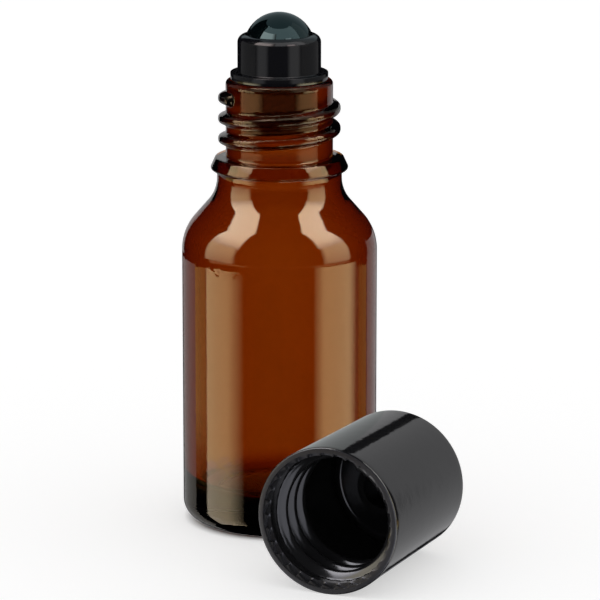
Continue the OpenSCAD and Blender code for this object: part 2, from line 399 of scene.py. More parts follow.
@dataclass(frozen=True)
class Finish:
    """What every finish of this object has: a colour, a gloss and an unevenness, and a tint that paints the
    colour of its reflections.
    """

    name: str
    colour: Colour
    tone_spread: float
    gloss: Span
    ripple_scale: float
    ripple_fine: float
    ripple_height: float
    refraction: float
    # Tint of the reflections: painted colour of the highlights, white where none is painted.
    painted_reflection_tint: Colour = (1, 1, 1)

    def material(self) -> bpy.types.Material:
        """Makes the material.

        Returns:
            The new material, with its Principled shader under the name "surface".
        """
        made = bpy.data.materials.new(self.name)
        made.use_nodes = True
        nodes, links = made.node_tree.nodes, made.node_tree.links
        surface = nodes["Principled BSDF"]
        surface.name = "surface"
        surface.inputs["IOR"].default_value = self.refraction
        # The Specular Tint paints the colour of the reflections.
        surface.inputs["Specular Tint"].default_value = (*self.painted_reflection_tint, 1)
        surface.inputs["Base Color"].default_value = (*self.colour, 1)
        if self.tone_spread > 0:
            tone = self.place(nodes, Pattern.tone(), {"Spread": self.tone_spread})
            tone.inputs["Colour"].default_value = (*self.colour, 1)
            links.new(tone.outputs["Colour"], surface.inputs["Base Color"])
        handling = self.place(nodes, Pattern.handling(), {"Low": self.gloss[0], "High": self.gloss[1]})
        ripple = self.place(nodes, Pattern.ripple(),
                            {"Scale": self.ripple_scale, "Fine share": self.ripple_fine})
        bump = nodes.new("ShaderNodeBump")
        bump.inputs["Strength"].default_value = 1.0
        bump.inputs["Distance"].default_value = self.ripple_height * MM
        links.new(handling.outputs["Roughness"], surface.inputs["Roughness"])
        links.new(ripple.outputs["Height"], bump.inputs["Height"])
        links.new(bump.outputs["Normal"], surface.inputs["Normal"])
        return made

    @staticmethod
    def place(nodes: bpy.types.Nodes, group: bpy.types.NodeTree, values: dict[str, float]) -> bpy.types.Node:
        """Puts a shared group into a material.

        Args:
            nodes: The material's nodes.
            group: The group.
            values: Value of each input that differs from its default.

        Returns:
            The group's node.
        """
        node = nodes.new("ShaderNodeGroup")
        node.node_tree = group
        for label, value in values.items():
            node.inputs[label].default_value = value
        return node


@dataclass(frozen=True)
class ClearGlass(Finish):
    """Coloured glass: clear at its surface, with the colour taken up along the way through it."""

    lets_through: Colour = (1, 1, 1)
    depth: float = 1000.0
    bore_roughness: float = 0.0

    def material(self) -> bpy.types.Material:
        """Makes the material, with absorption inside it and a duller bore.

        Returns:
            The new material.
        """
        made = super().material()
        nodes, links = made.node_tree.nodes, made.node_tree.links
        surface = nodes["surface"]
        surface.inputs["Transmission Weight"].default_value = 1.0
        bore = nodes.new("ShaderNodeAttribute")
        bore.attribute_name = DULL
        duller = math_node(nodes, "MULTIPLY_ADD", {1: self.bore_roughness})
        links.new(bore.outputs["Fac"], duller.inputs[0])
        links.new(surface.inputs["Roughness"].links[0].from_socket, duller.inputs[2])
        links.new(duller.outputs[0], surface.inputs["Roughness"])
        inside = nodes.new("ShaderNodeVolumeAbsorption")
        inside.inputs["Color"].default_value = (*self.lets_through, 1)
        inside.inputs["Density"].default_value = self.depth
        links.new(inside.outputs["Volume"], nodes["Material Output"].inputs["Volume"])
        return made


@dataclass
class GlassBottle:
    """The glass: body, screw neck and thread, in one closed skin with the hollow inside.

    The notches are pressed in from notch_reach inside the bearing ring's outer edge, and the rows of the
    skin stand closer over notch_band there.
    """

    body_radius: float
    rim_height: float
    side_height: float = 40.5
    heel_radius: float = 3.0
    shoulder_radius: float = 7.3
    shoulder_lean: float = 41.0
    throat_radius: float = 5.4
    neck_radius: float = 9.1
    neck_height: float = 1.2
    wall: float = 2.4
    base: float = 4.8
    inner_heel_radius: float = 2.8
    punt: float = 0.9
    punt_foot: float = 0.12
    bearing_width: float = 1.65
    bearing_edge_angle: float = -130.0
    notch_count: int = 64
    notch_depth: float = 0.2
    notch_tool: float = 0.45
    notch_reach: float = 1.0
    notch_band: float = 1.2
    ring_radius: float = 10.0
    ring_lean: float = 16.0
    ring_height: float = 1.9
    ring_edge: float = 0.35
    fillet: float = 0.3
    finish_radius: float = 7.8
    finish_height: float = 11.3
    bore_radius: float = 5.5
    rim_edge: float = 0.6
    thread_start: float = 2.1
    thread_margin: float = 1.4
    row_step: float = 0.075
    columns: int = 448

    def thread(self) -> ThreadForm:
        """The thread round the neck."""
        return ThreadForm(wall_radius=self.finish_radius, height=1.1, half_foot=0.97, pitch=3.0, turns=2.26,
                          start_height=self.ring_top + self.thread_start, start_angle=120.0)

    @property
    def ring_top(self) -> float:
        """Height of the support ring's upper face."""
        return self.rim_height - self.finish_height

    @property
    def bearing_out(self) -> float:
        """Outer radius of the ring on which the bottle stands."""
        return self.body_radius - self.heel_radius

    @property
    def shoulder(self) -> Span:
        """Centre of the shoulder's arc, as radius and height."""
        return self.body_radius - self.shoulder_radius, self.side_height

    @property
    def throat(self) -> Span:
        """Finds the centre of the hollow arc that leads from the shoulder's straight slope to the neck.

        Returns:
            Its radius and height.
        """
        lean = math.radians(self.shoulder_lean)
        low_radius = self.shoulder[0] + self.shoulder_radius * math.cos(lean)
        low_height = self.shoulder[1] + self.shoulder_radius * math.sin(lean)
        radius = self.neck_radius + self.throat_radius
        high_radius = radius - self.throat_radius * math.cos(lean)
        high_height = low_height + (low_radius - high_radius) / math.tan(lean)
        return radius, high_height + self.throat_radius * math.sin(lean)

    def add_base(self, line: Outline) -> None:
        """Adds the pushed up base and the bearing ring, from the middle outward.

        Args:
            line: The half section.
        """
        bearing_in = self.bearing_out - self.bearing_width
        line.dome(bearing_in - self.fillet, self.punt_foot, self.punt - self.punt_foot, inward=False)
        line.arc((bearing_in, self.fillet), self.fillet, self.bearing_edge_angle, -90, steps=4)
        line.to(self.bearing_out - self.notch_band, 0).to(self.bearing_out, 0, steps=6)

    def add_side(self, line: Outline) -> None:
        """Adds the outside from the heel up to the top of the support ring.

        Args:
            line: The half section.
        """
        tidy, edge, ring_low = self.fillet, self.ring_edge, self.throat[1] + self.neck_height
        top_edge = self.ring_radius - self.ring_height * math.tan(math.radians(self.ring_lean)) - edge
        line.arc((self.bearing_out, self.heel_radius), self.heel_radius, -90, 0, steps=24)
        line.to(self.body_radius, self.side_height, steps=40)
        line.arc(self.shoulder, self.shoulder_radius, 0, self.shoulder_lean, steps=24)
        line.arc(self.throat, self.throat_radius, 180 + self.shoulder_lean, 180, steps=20)
        line.to(self.neck_radius, ring_low - tidy)
        line.arc((self.neck_radius + tidy, ring_low - tidy), tidy, 180, 90, steps=5)
        line.arc((self.ring_radius - edge, ring_low + edge), edge, -90, self.ring_lean, steps=9)
        line.arc((top_edge, self.ring_top - edge), edge, self.ring_lean, 90, steps=8)

    def add_finish(self, line: Outline) -> None:
        """Adds the wall that carries the thread, in rows close enough to shape it, and the rim's outer edge.

        Args:
            line: The half section.
        """
        tidy, edge, form = self.fillet, self.rim_edge, self.thread()
        low = form.start_height - self.thread_margin
        high = form.start_height + form.pitch * form.turns + self.thread_margin
        line.arc((self.finish_radius + tidy, self.ring_top + tidy), tidy, -90, -180, steps=6)
        line.to(self.finish_radius, low)
        line.to(self.finish_radius, high, steps=round((high - low) / self.row_step))
        line.arc((self.finish_radius - edge, self.rim_height - edge), edge, 0, 90, steps=8)

    def add_inside(self, line: Outline) -> None:
        """Adds the rim's inner edge, the bore and the hollow, down to the middle of the floor.

        Args:
            line: The half section.
        """
        edge, lean, heel = self.rim_edge, self.shoulder_lean, self.inner_heel_radius
        floor_radius = self.body_radius - self.wall - heel
        line.arc((self.bore_radius + edge, self.rim_height - edge), edge, 90, 180, steps=8)
        line.to(self.bore_radius, self.ring_top)
        line.arc(self.throat, self.throat_radius + self.wall, 180, 180 + lean, steps=16)
        line.arc(self.shoulder, self.shoulder_radius - self.wall, lean, 0, steps=16)
        line.arc((floor_radius, self.base + heel), heel, 0, -90, steps=16)
        line.dome(floor_radius, self.base, self.punt, inward=True)

    def outline(self) -> Outline:
        """Draws the half section through the glass.

        Returns:
            The outline, from the middle of the base outside to the middle of the floor inside.
        """
        line = Outline()
        self.add_base(line)
        self.add_side(line)
        self.add_finish(line)
        self.add_inside(line)
        return line

    def worked(self, radius: np.ndarray, height: np.ndarray, angle: np.ndarray) -> Places:
        """Raises the thread on the neck and presses the notches into the base's outer edge.

        Args:
            radius: Radius of each point of the turned skin.
            height: Height of each point.
            angle: Angle of each point, in radians.

        Returns:
            The new radius and height of each point.
        """
        on_neck = (np.abs(radius - self.finish_radius) < SAME_PLACE) & (height > self.ring_top)
        radius = np.where(on_neck, radius + self.thread().rise(angle, height), radius)
        spacing = 2 * math.pi / self.notch_count
        across = (np.mod(angle + spacing / 2, spacing) - spacing / 2) * radius
        reach = np.clip(1 - (across / self.notch_tool) ** 2, 0, 1)
        roof = self.notch_tool * np.sqrt(reach) - (self.notch_tool - self.notch_depth)
        in_ring = (radius > self.bearing_out - self.notch_reach) & (height < self.notch_depth)
        return radius, np.where(in_ring, np.maximum(height, roof), height)

    def dull_bore(self, mesh: bpy.types.Mesh) -> None:
        """Marks the bore of the neck, which the plunger leaves duller than the blown glass.

        Args:
            mesh: The mesh of the glass.
        """
        places = np.empty(len(mesh.vertices) * 3)
        mesh.vertices.foreach_get("co", places)
        places = places.reshape(-1, 3) / MM
        in_bore = np.hypot(places[:, 0], places[:, 1]) < self.bore_radius + self.rim_edge / 2
        marks = in_bore & (places[:, 2] > self.ring_top - self.rim_edge)
        mesh.attributes.new(DULL, "FLOAT", "POINT").data.foreach_set("value", marks.astype(float))

    def build(self, finish: Finish) -> bpy.types.Object:
        """Makes and dresses the glass.

        Args:
            finish: The finish of the glass.

        Returns:
            The new piece.
        """
        piece = turned_piece("amber_bottle", self.outline(), self.columns, shift=self.worked,
                             sharp_angle=70)
        piece.data.materials.append(finish.material())
        self.dull_bore(piece.data)
        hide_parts("bottle")
        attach(piece, "bottle")
        return piece


@dataclass
class RollerInsert:
    """The insert that is pushed into the neck: cup, flange and plug."""

    rim_height: float
    lip_height: float
    ball_height: float
    ball_radius: float
    flange_radius: float = 7.1
    flange_thickness: float = 1.15
    flange_edge: float = 0.12
    cup_radius: float = 6.06
    cup_foot: float = 0.2
    lip_edge: float = 1.15
    lip_edge_stop: float = 84.0
    plug_length: float = 8.0
    plug_wall: float = 1.15
    seal_radius: float = 5.46
    seal_rise: float = 0.12
    seal_width: float = 0.7
    seal_count: int = 3
    seal_steps: int = 8
    floor: float = 1.2
    feed_radius: float = 1.6
    hollow_clearance: float = 0.06
    channel_count: int = 4
    channel_width: float = 1.0
    channel_depth: float = 0.35
    columns: int = 256

    @property
    def hollow_radius(self) -> float:
        """Radius of the round hollow that holds the ball."""
        return self.ball_radius + self.hollow_clearance

    @property
    def plug_radius(self) -> float:
        """Radius of the plug between its sealing rings."""
        return self.seal_radius - self.seal_rise

    def add_cup_inside(self, line: Outline) -> None:
        """Adds the round hollow from the lip down, the feed hole and the inside of the plug.

        Args:
            line: The half section.
        """
        edge, bottom = self.flange_edge, self.rim_height - self.plug_length
        inner = self.plug_radius - self.plug_wall
        low = math.degrees(math.acos(self.feed_radius / self.hollow_radius))
        high = math.degrees(math.asin((self.lip_height - self.ball_height) / self.hollow_radius))
        roof = self.ball_height - self.hollow_radius * math.sin(math.radians(low)) - self.floor
        line.arc((0, self.ball_height), self.hollow_radius, high, -low, steps=40)
        line.to(self.feed_radius, roof, steps=2).to(inner - edge, roof)
        line.arc((inner - edge, roof - edge), edge, 90, 0, steps=4)
        line.to(inner, bottom)

    def add_plug(self, line: Outline) -> None:
        """Adds the plug's outside, from its bevelled end up over the sealing rings to the glass rim.

        Args:
            line: The half section.
        """
        plug, bottom, bevel = self.plug_radius, self.rim_height - self.plug_length, self.plug_wall / 2
        line.to(plug - bevel, bottom).to(plug, bottom + bevel)
        spacing = self.plug_length / (self.seal_count + 1)
        for i in range(1, self.seal_count + 1):
            middle = bottom + i * spacing
            line.to(plug, middle - self.seal_width / 2)
            for j in range(1, self.seal_steps):
                share = j / self.seal_steps
                rise = self.seal_rise * math.sin(math.pi * share)
                line.to(plug + rise, middle + self.seal_width * (share - 0.5))
            line.to(plug, middle + self.seal_width / 2)
        line.to(plug, self.rim_height)

    def add_cup_outside(self, line: Outline) -> None:
        """Adds the flange and the outside of the cup, up to the lip.

        Args:
            line: The half section.
        """
        edge, foot, lip = self.flange_edge, self.cup_foot, self.lip_edge
        top = self.rim_height + self.flange_thickness
        line.arc((self.flange_radius - edge, self.rim_height + edge), edge, -90, 0, steps=4)
        line.arc((self.flange_radius - edge, top - edge), edge, 0, 90, steps=5)
        line.arc((self.cup_radius + foot, top + foot), foot, 270, 180, steps=6)
        line.arc((self.cup_radius - lip, self.lip_height - lip), lip, 0, self.lip_edge_stop, steps=14)

    def outline(self) -> Outline:
        """Draws the half section through the insert.

        Returns:
            The outline, from the lip inside round the outside to the lip again.
        """
        line = Outline()
        self.add_cup_inside(line)
        self.add_plug(line)
        self.add_cup_outside(line)
        return line

    def grooved(self, radius: np.ndarray, height: np.ndarray, angle: np.ndarray) -> Places:
        """Sinks the feed channels into the lower half of the hollow.

        Args:
            radius: Radius of each point of the turned skin.
            height: Height of each point.
            angle: Angle of each point, in radians.

        Returns:
            The new radius and height of each point.
        """
        drop = height - self.ball_height
        on_hollow = np.abs(np.hypot(radius, drop) - self.hollow_radius) < SAME_PLACE
        spacing = 2 * math.pi / self.channel_count
        across = np.abs(np.mod(angle + spacing / 2, spacing) - spacing / 2) * radius
        in_channel = on_hollow & (drop < 0) & (across < self.channel_width / 2)
        grow = np.where(in_channel, 1 + self.channel_depth / self.hollow_radius, 1.0)
        return radius * grow, self.ball_height + drop * grow

    def build(self, finish: Finish) -> bpy.types.Object:
        """Makes and dresses the insert.

        Args:
            finish: The finish of its plastic.

        Returns:
            The new piece.
        """
        piece = turned_piece("roller_insert", self.outline(), self.columns, shift=self.grooved)
        piece.data.materials.append(finish.material())
        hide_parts("roller_housing")
        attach(piece, "insert")
        return piece


@dataclass
class RollerBall:
    """The ball, a turned mesh with even faces."""

    height: float
    radius: float
    rows: int = 128
    columns: int = 256

    def build(self, finish: Finish) -> bpy.types.Object:
        """Makes and dresses the ball.

        Args:
            finish: The finish of the ball.

        Returns:
            The new piece.
        """
        outline = Outline().to(0, self.height - self.radius)
        for i in range(1, self.rows):
            lean = math.pi * i / self.rows
            outline.to(self.radius * math.sin(lean), self.height - self.radius * math.cos(lean))
        outline.to(0, self.height + self.radius)
        piece = turned_piece("rolling_ball", outline, self.columns)
        piece.data.materials.append(finish.material())
        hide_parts("roller_ball")
        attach(piece, "ball")
        return piece


class CapZone(IntEnum):
    """The parts of the cap's skin that have materials of their own, in the order of its materials. All are
    the same plastic: the mouth and the bore differ in roughness, and carry painted light and shade in their
    colours and reflection tints.
    """

    OUTSIDE = 0
    MOUTH = 1
    BORE = 2


@dataclass
class ScrewCap:
    """The cap, with its inside thread, the teeth round its mouth and the ring that presses on the ball."""

    ground_radius: float
    mouth_radius: float = 10.5
    end_radius: float = 10.2
    length: float = 26.0
    end_thickness: float = 1.5
    end_edge: float = 1.0
    lip_edge: float = 0.25
    bore_radius: float = 9.15
    tooth_radius: float = 9.75
    tooth_tip: float = 9.24
    tooth_count: int = 30
    tooth_low: float = 0.25
    tooth_underside: float = 0.02
    tooth_length: float = 1.1
    tooth_rise_share: float = 0.7
    tooth_cover_share: float = 0.8
    step_bevel: float = 0.1
    corner: float = 1.0
    press_radius: float = 3.9
    press_wall: float = 0.9
    press_depth: float = 19.8
    azimuth: float = 66.0
    side_angle: float = 33.0
    gap: float = 0.4
    turn: float = 200.0
    thread_margin: float = 1.4
    row_step: float = 0.08
    columns: int = 480

    @property
    def tilt(self) -> float:
        """Angle by which the tapered cap leans when it lies on its side, in radians."""
        return math.atan((self.mouth_radius - self.end_radius) / self.length)

    def place(self) -> Matrix:
        """Works out where the cap lies: on its side, with the edge of its closed end near the glass.

        Returns:
            The move there, in millimetres, from upright with its mouth down.
        """
        across, ahead = math.radians(self.side_angle), math.radians(self.azimuth)
        near = (self.ground_radius + self.gap) * Vector((math.sin(across), -math.cos(across), 0))
        along = Vector((math.cos(ahead), math.sin(ahead), 0))
        end = near + self.end_radius * Vector((math.sin(ahead), -math.cos(ahead), 0))
        mouth = end - self.length * math.cos(self.tilt) * along
        mouth.z = self.mouth_radius * math.cos(self.tilt)
        return (Matrix.Translation(mouth) @ Matrix.Rotation(ahead, 4, "Z")
                @ Matrix.Rotation(math.radians(90) + self.tilt, 4, "Y")
                @ Matrix.Rotation(math.radians(self.turn), 4, "Z"))

    def thread(self) -> ThreadForm:
        """The thread inside the cap."""
        return ThreadForm(wall_radius=self.bore_radius, height=1.2, half_foot=1.0, pitch=3.0, turns=3.0,
                          start_height=2.4, start_angle=0.0, fullness=2.2, foot_fillet=0.12)

    def outline(self) -> Outline:
        """Draws the half section through the cap.

        Returns:
            The outline, from the middle of its closed end outside to the middle inside.
        """
        roof, lip = self.length - self.end_thickness, self.lip_edge
        inner = self.press_radius - self.press_wall
        flat = self.end_radius - self.end_edge
        line = Outline().to(0, self.length).to(flat, self.length, steps=4)
        line.arc((flat, self.length - self.end_edge), self.end_edge, 90, 0, steps=10)
        line.to(self.mouth_radius, lip, steps=30)
        line.arc((self.mouth_radius - lip, lip), lip, 0, -90, steps=5)
        line.to(self.tooth_radius, 0)
        line.to(self.tooth_radius, self.tooth_low)
        line.to(self.tooth_radius, self.tooth_low + self.tooth_underside)
        line.to(self.tooth_radius, self.tooth_length)
        line.to(self.bore_radius, self.tooth_length + self.step_bevel)
        form = self.thread()
        deep = form.start_height + form.pitch * form.turns + self.thread_margin
        line.to(self.bore_radius, deep, steps=round((deep - self.tooth_length) / self.row_step))
        line.arc((self.bore_radius - self.corner, roof - self.corner), self.corner, 0, 90, steps=6)
        line.to(self.press_radius, roof).to(self.press_radius, self.press_depth)
        line.to(inner, self.press_depth).to(inner, roof).to(0, roof)
        return line

    def worked(self, radius: np.ndarray, height: np.ndarray, angle: np.ndarray) -> Places:
        """Raises the thread in the bore and the teeth round the mouth.

        Args:
            radius: Radius of each point of the turned skin.
            height: Height of each point.
            angle: Angle of each point, in radians.

        Returns:
            The new radius and height of each point.
        """
        in_bore = np.abs(radius - self.bore_radius) < SAME_PLACE
        raised = np.where(in_bore, radius - self.thread().rise(angle, height), radius)
        share = np.mod(angle * self.tooth_count / (2 * math.pi), 1)
        up = share / self.tooth_rise_share
        down = (self.tooth_cover_share - share) / (self.tooth_cover_share - self.tooth_rise_share)
        tooth = np.clip(np.minimum(up, down), 0, 1) * (self.tooth_radius - self.tooth_tip)
        over_underside = height > self.tooth_low + self.tooth_underside / 2
        on_step = (np.abs(radius - self.tooth_radius) < SAME_PLACE) & over_underside
        return np.where(on_step, raised - tooth, raised), height

    def zones(self, mesh: bpy.types.Mesh) -> np.ndarray:
        """Sorts the cap's faces by their finish.

        Args:
            mesh: The cap's mesh, in its place.

        Returns:
            The zone of each face.
        """
        centres = np.empty(len(mesh.polygons) * 3)
        mesh.polygons.foreach_get("center", centres)
        local = moved(centres.reshape(-1, 3) / MM, self.place().inverted())
        away, level = np.hypot(local[:, 0], local[:, 1]), local[:, 2]
        in_bore = (away < self.tooth_radius) & (level < self.length - self.end_thickness / 2)
        in_lip = away < self.mouth_radius - self.lip_edge / 2
        at_mouth = in_lip & (level < self.tooth_length + self.lip_edge)
        return np.where(at_mouth, CapZone.MOUTH, np.where(in_bore, CapZone.BORE, CapZone.OUTSIDE))

    def build(self, finishes: dict[CapZone, Finish]) -> bpy.types.Object:
        """Makes and dresses the cap.

        Args:
            finishes: The finish of each zone.

        Returns:
            The new piece.
        """
        piece = turned_piece("screw_cap", self.outline(), self.columns, shift=self.worked,
                             place=self.place())
        for zone in CapZone:
            piece.data.materials.append(finishes[zone].material())
        piece.data.polygons.foreach_set("material_index", self.zones(piece.data).astype(np.int32))
        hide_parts("cap")
        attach(piece, "cap")
        return piece


class SeenFrom(Enum):
    """The side from which a card is seen in reflections. None of the cards shows in the camera."""

    BOTH_SIDES = "both sides"
    OUTSIDE = "outside"
    INSIDE = "inside"


@dataclass(frozen=True)
class Card:
    """A curved card of light or shade in the set, which shows in reflections alone.

    Its edges are given as directions from a point on the bottle's axis at the eye height. Azimuth counts
    from straight behind the bottle, towards its right, and elevation from level, in degrees. An upright
    card follows a cylinder, any other a ball. Its brightness is that at full strength, where 1 is white.
    """

    name: str
    azimuth: Span
    elevation: Span
    brightness: Colour
    seen_from: SeenFrom = SeenFrom.BOTH_SIDES
    side_fade: Span = (0.0, 0.0)
    low_fade: float = 0.0
    low_share: float = 0.0
    distance: float = 0.7
    eye_height: float = 0.04
    upright: bool = False
    steps: int = 32

    def strength(self, azimuth: float, elevation: float) -> float:
        """Share of the full brightness at a place on the card, which may fade at its sides and lower edge.

        Args:
            azimuth: Azimuth of the place, in degrees.
            elevation: Elevation of the place, in degrees.

        Returns:
            The share, from 0 to 1.
        """
        share = 1.0
        for fade, inside in zip(self.side_fade, (azimuth - self.azimuth[0], self.azimuth[1] - azimuth)):
            if fade > 0:
                share *= min(inside / fade, 1.0)
        if self.low_fade > 0:
            climb = min((elevation - self.elevation[0]) / self.low_fade, 1.0)
            share *= self.low_share + (1 - self.low_share) * climb
        return share

    def point(self, azimuth: float, elevation: float) -> tuple[float, float, float]:
        """Finds a place on the card.

        Args:
            azimuth: Azimuth of the place, in degrees.
            elevation: Elevation of the place, in degrees.

        Returns:
            The place, in metres.
        """
        across, up = math.radians(azimuth), math.radians(elevation)
        reach = self.distance if self.upright else self.distance * math.cos(up)
        return reach * math.sin(across), reach * math.cos(across), reach * math.tan(up) + self.eye_height

    def material(self) -> bpy.types.Material:
        """Makes a light that follows the shares stored in the mesh and is clear from its unseen side.

        Returns:
            The new material.
        """
        made = bpy.data.materials.new(self.name)
        made.use_nodes = True
        nodes, links = made.node_tree.nodes, made.node_tree.links
        nodes.remove(nodes["Principled BSDF"])
        light = nodes.new("ShaderNodeEmission")
        light.inputs["Color"].default_value = (*self.brightness, 1)
        share = nodes.new("ShaderNodeAttribute")
        share.attribute_name = FADE
        links.new(share.outputs["Fac"], light.inputs["Strength"])
        surface = light.outputs["Emission"]
        if self.seen_from is not SeenFrom.BOTH_SIDES:
            side = nodes.new("ShaderNodeNewGeometry")
            clear = nodes.new("ShaderNodeBsdfTransparent").outputs["BSDF"]
            either = nodes.new("ShaderNodeMixShader")
            outer, inner = (surface, clear) if self.seen_from is SeenFrom.OUTSIDE else (clear, surface)
            links.new(side.outputs["Backfacing"], either.inputs["Fac"])
            links.new(outer, either.inputs[1])
            links.new(inner, either.inputs[2])
            surface = either.outputs["Shader"]
        links.new(surface, nodes["Material Output"].inputs["Surface"])
        return made

    def build(self) -> None:
        """Makes the card as part of the stage."""
        points, faces, shares = [], [], []
        for azimuth in np.linspace(*self.azimuth, self.steps + 1):
            for elevation in np.linspace(*self.elevation, self.steps + 1):
                shares.append(self.strength(azimuth, elevation))
                points.append(self.point(azimuth, elevation))
        across = self.steps + 1
        for i in range(self.steps):
            for j in range(self.steps):
                corner = i * across + j
                faces.append((corner, corner + 1, corner + across + 1, corner + across))
        mesh = bpy.data.meshes.new(self.name)
        mesh.from_pydata(points, [], faces)
        mesh.attributes.new(FADE, "FLOAT", "POINT").data.foreach_set("value", shares)
        mesh.materials.append(self.material())
        card = in_scene(self.name, mesh)
        card.visible_camera = False
        card.visible_shadow = False
        card.visible_volume_scatter = False
        card.visible_diffuse = False
        card.visible_transmission = False


def white_rays(nodes: bpy.types.Nodes, links: bpy.types.NodeLinks) -> bpy.types.NodeSocket:
    """Mask of the rays that see the plain white background: from the camera, and off or through the object.

    Args:
        nodes: Nodes of the material or world.
        links: Its links.

    Returns:
        The socket that holds the mask.
    """
    path = nodes.new("ShaderNodeLightPath")
    either, any_of = math_node(nodes, "MAXIMUM"), math_node(nodes, "MAXIMUM")
    links.new(path.outputs["Is Camera Ray"], either.inputs[0])
    links.new(path.outputs["Is Glossy Ray"], either.inputs[1])
    links.new(either.outputs[0], any_of.inputs[0])
    links.new(path.outputs["Is Transmission Ray"], any_of.inputs[1])
    return any_of.outputs[0]


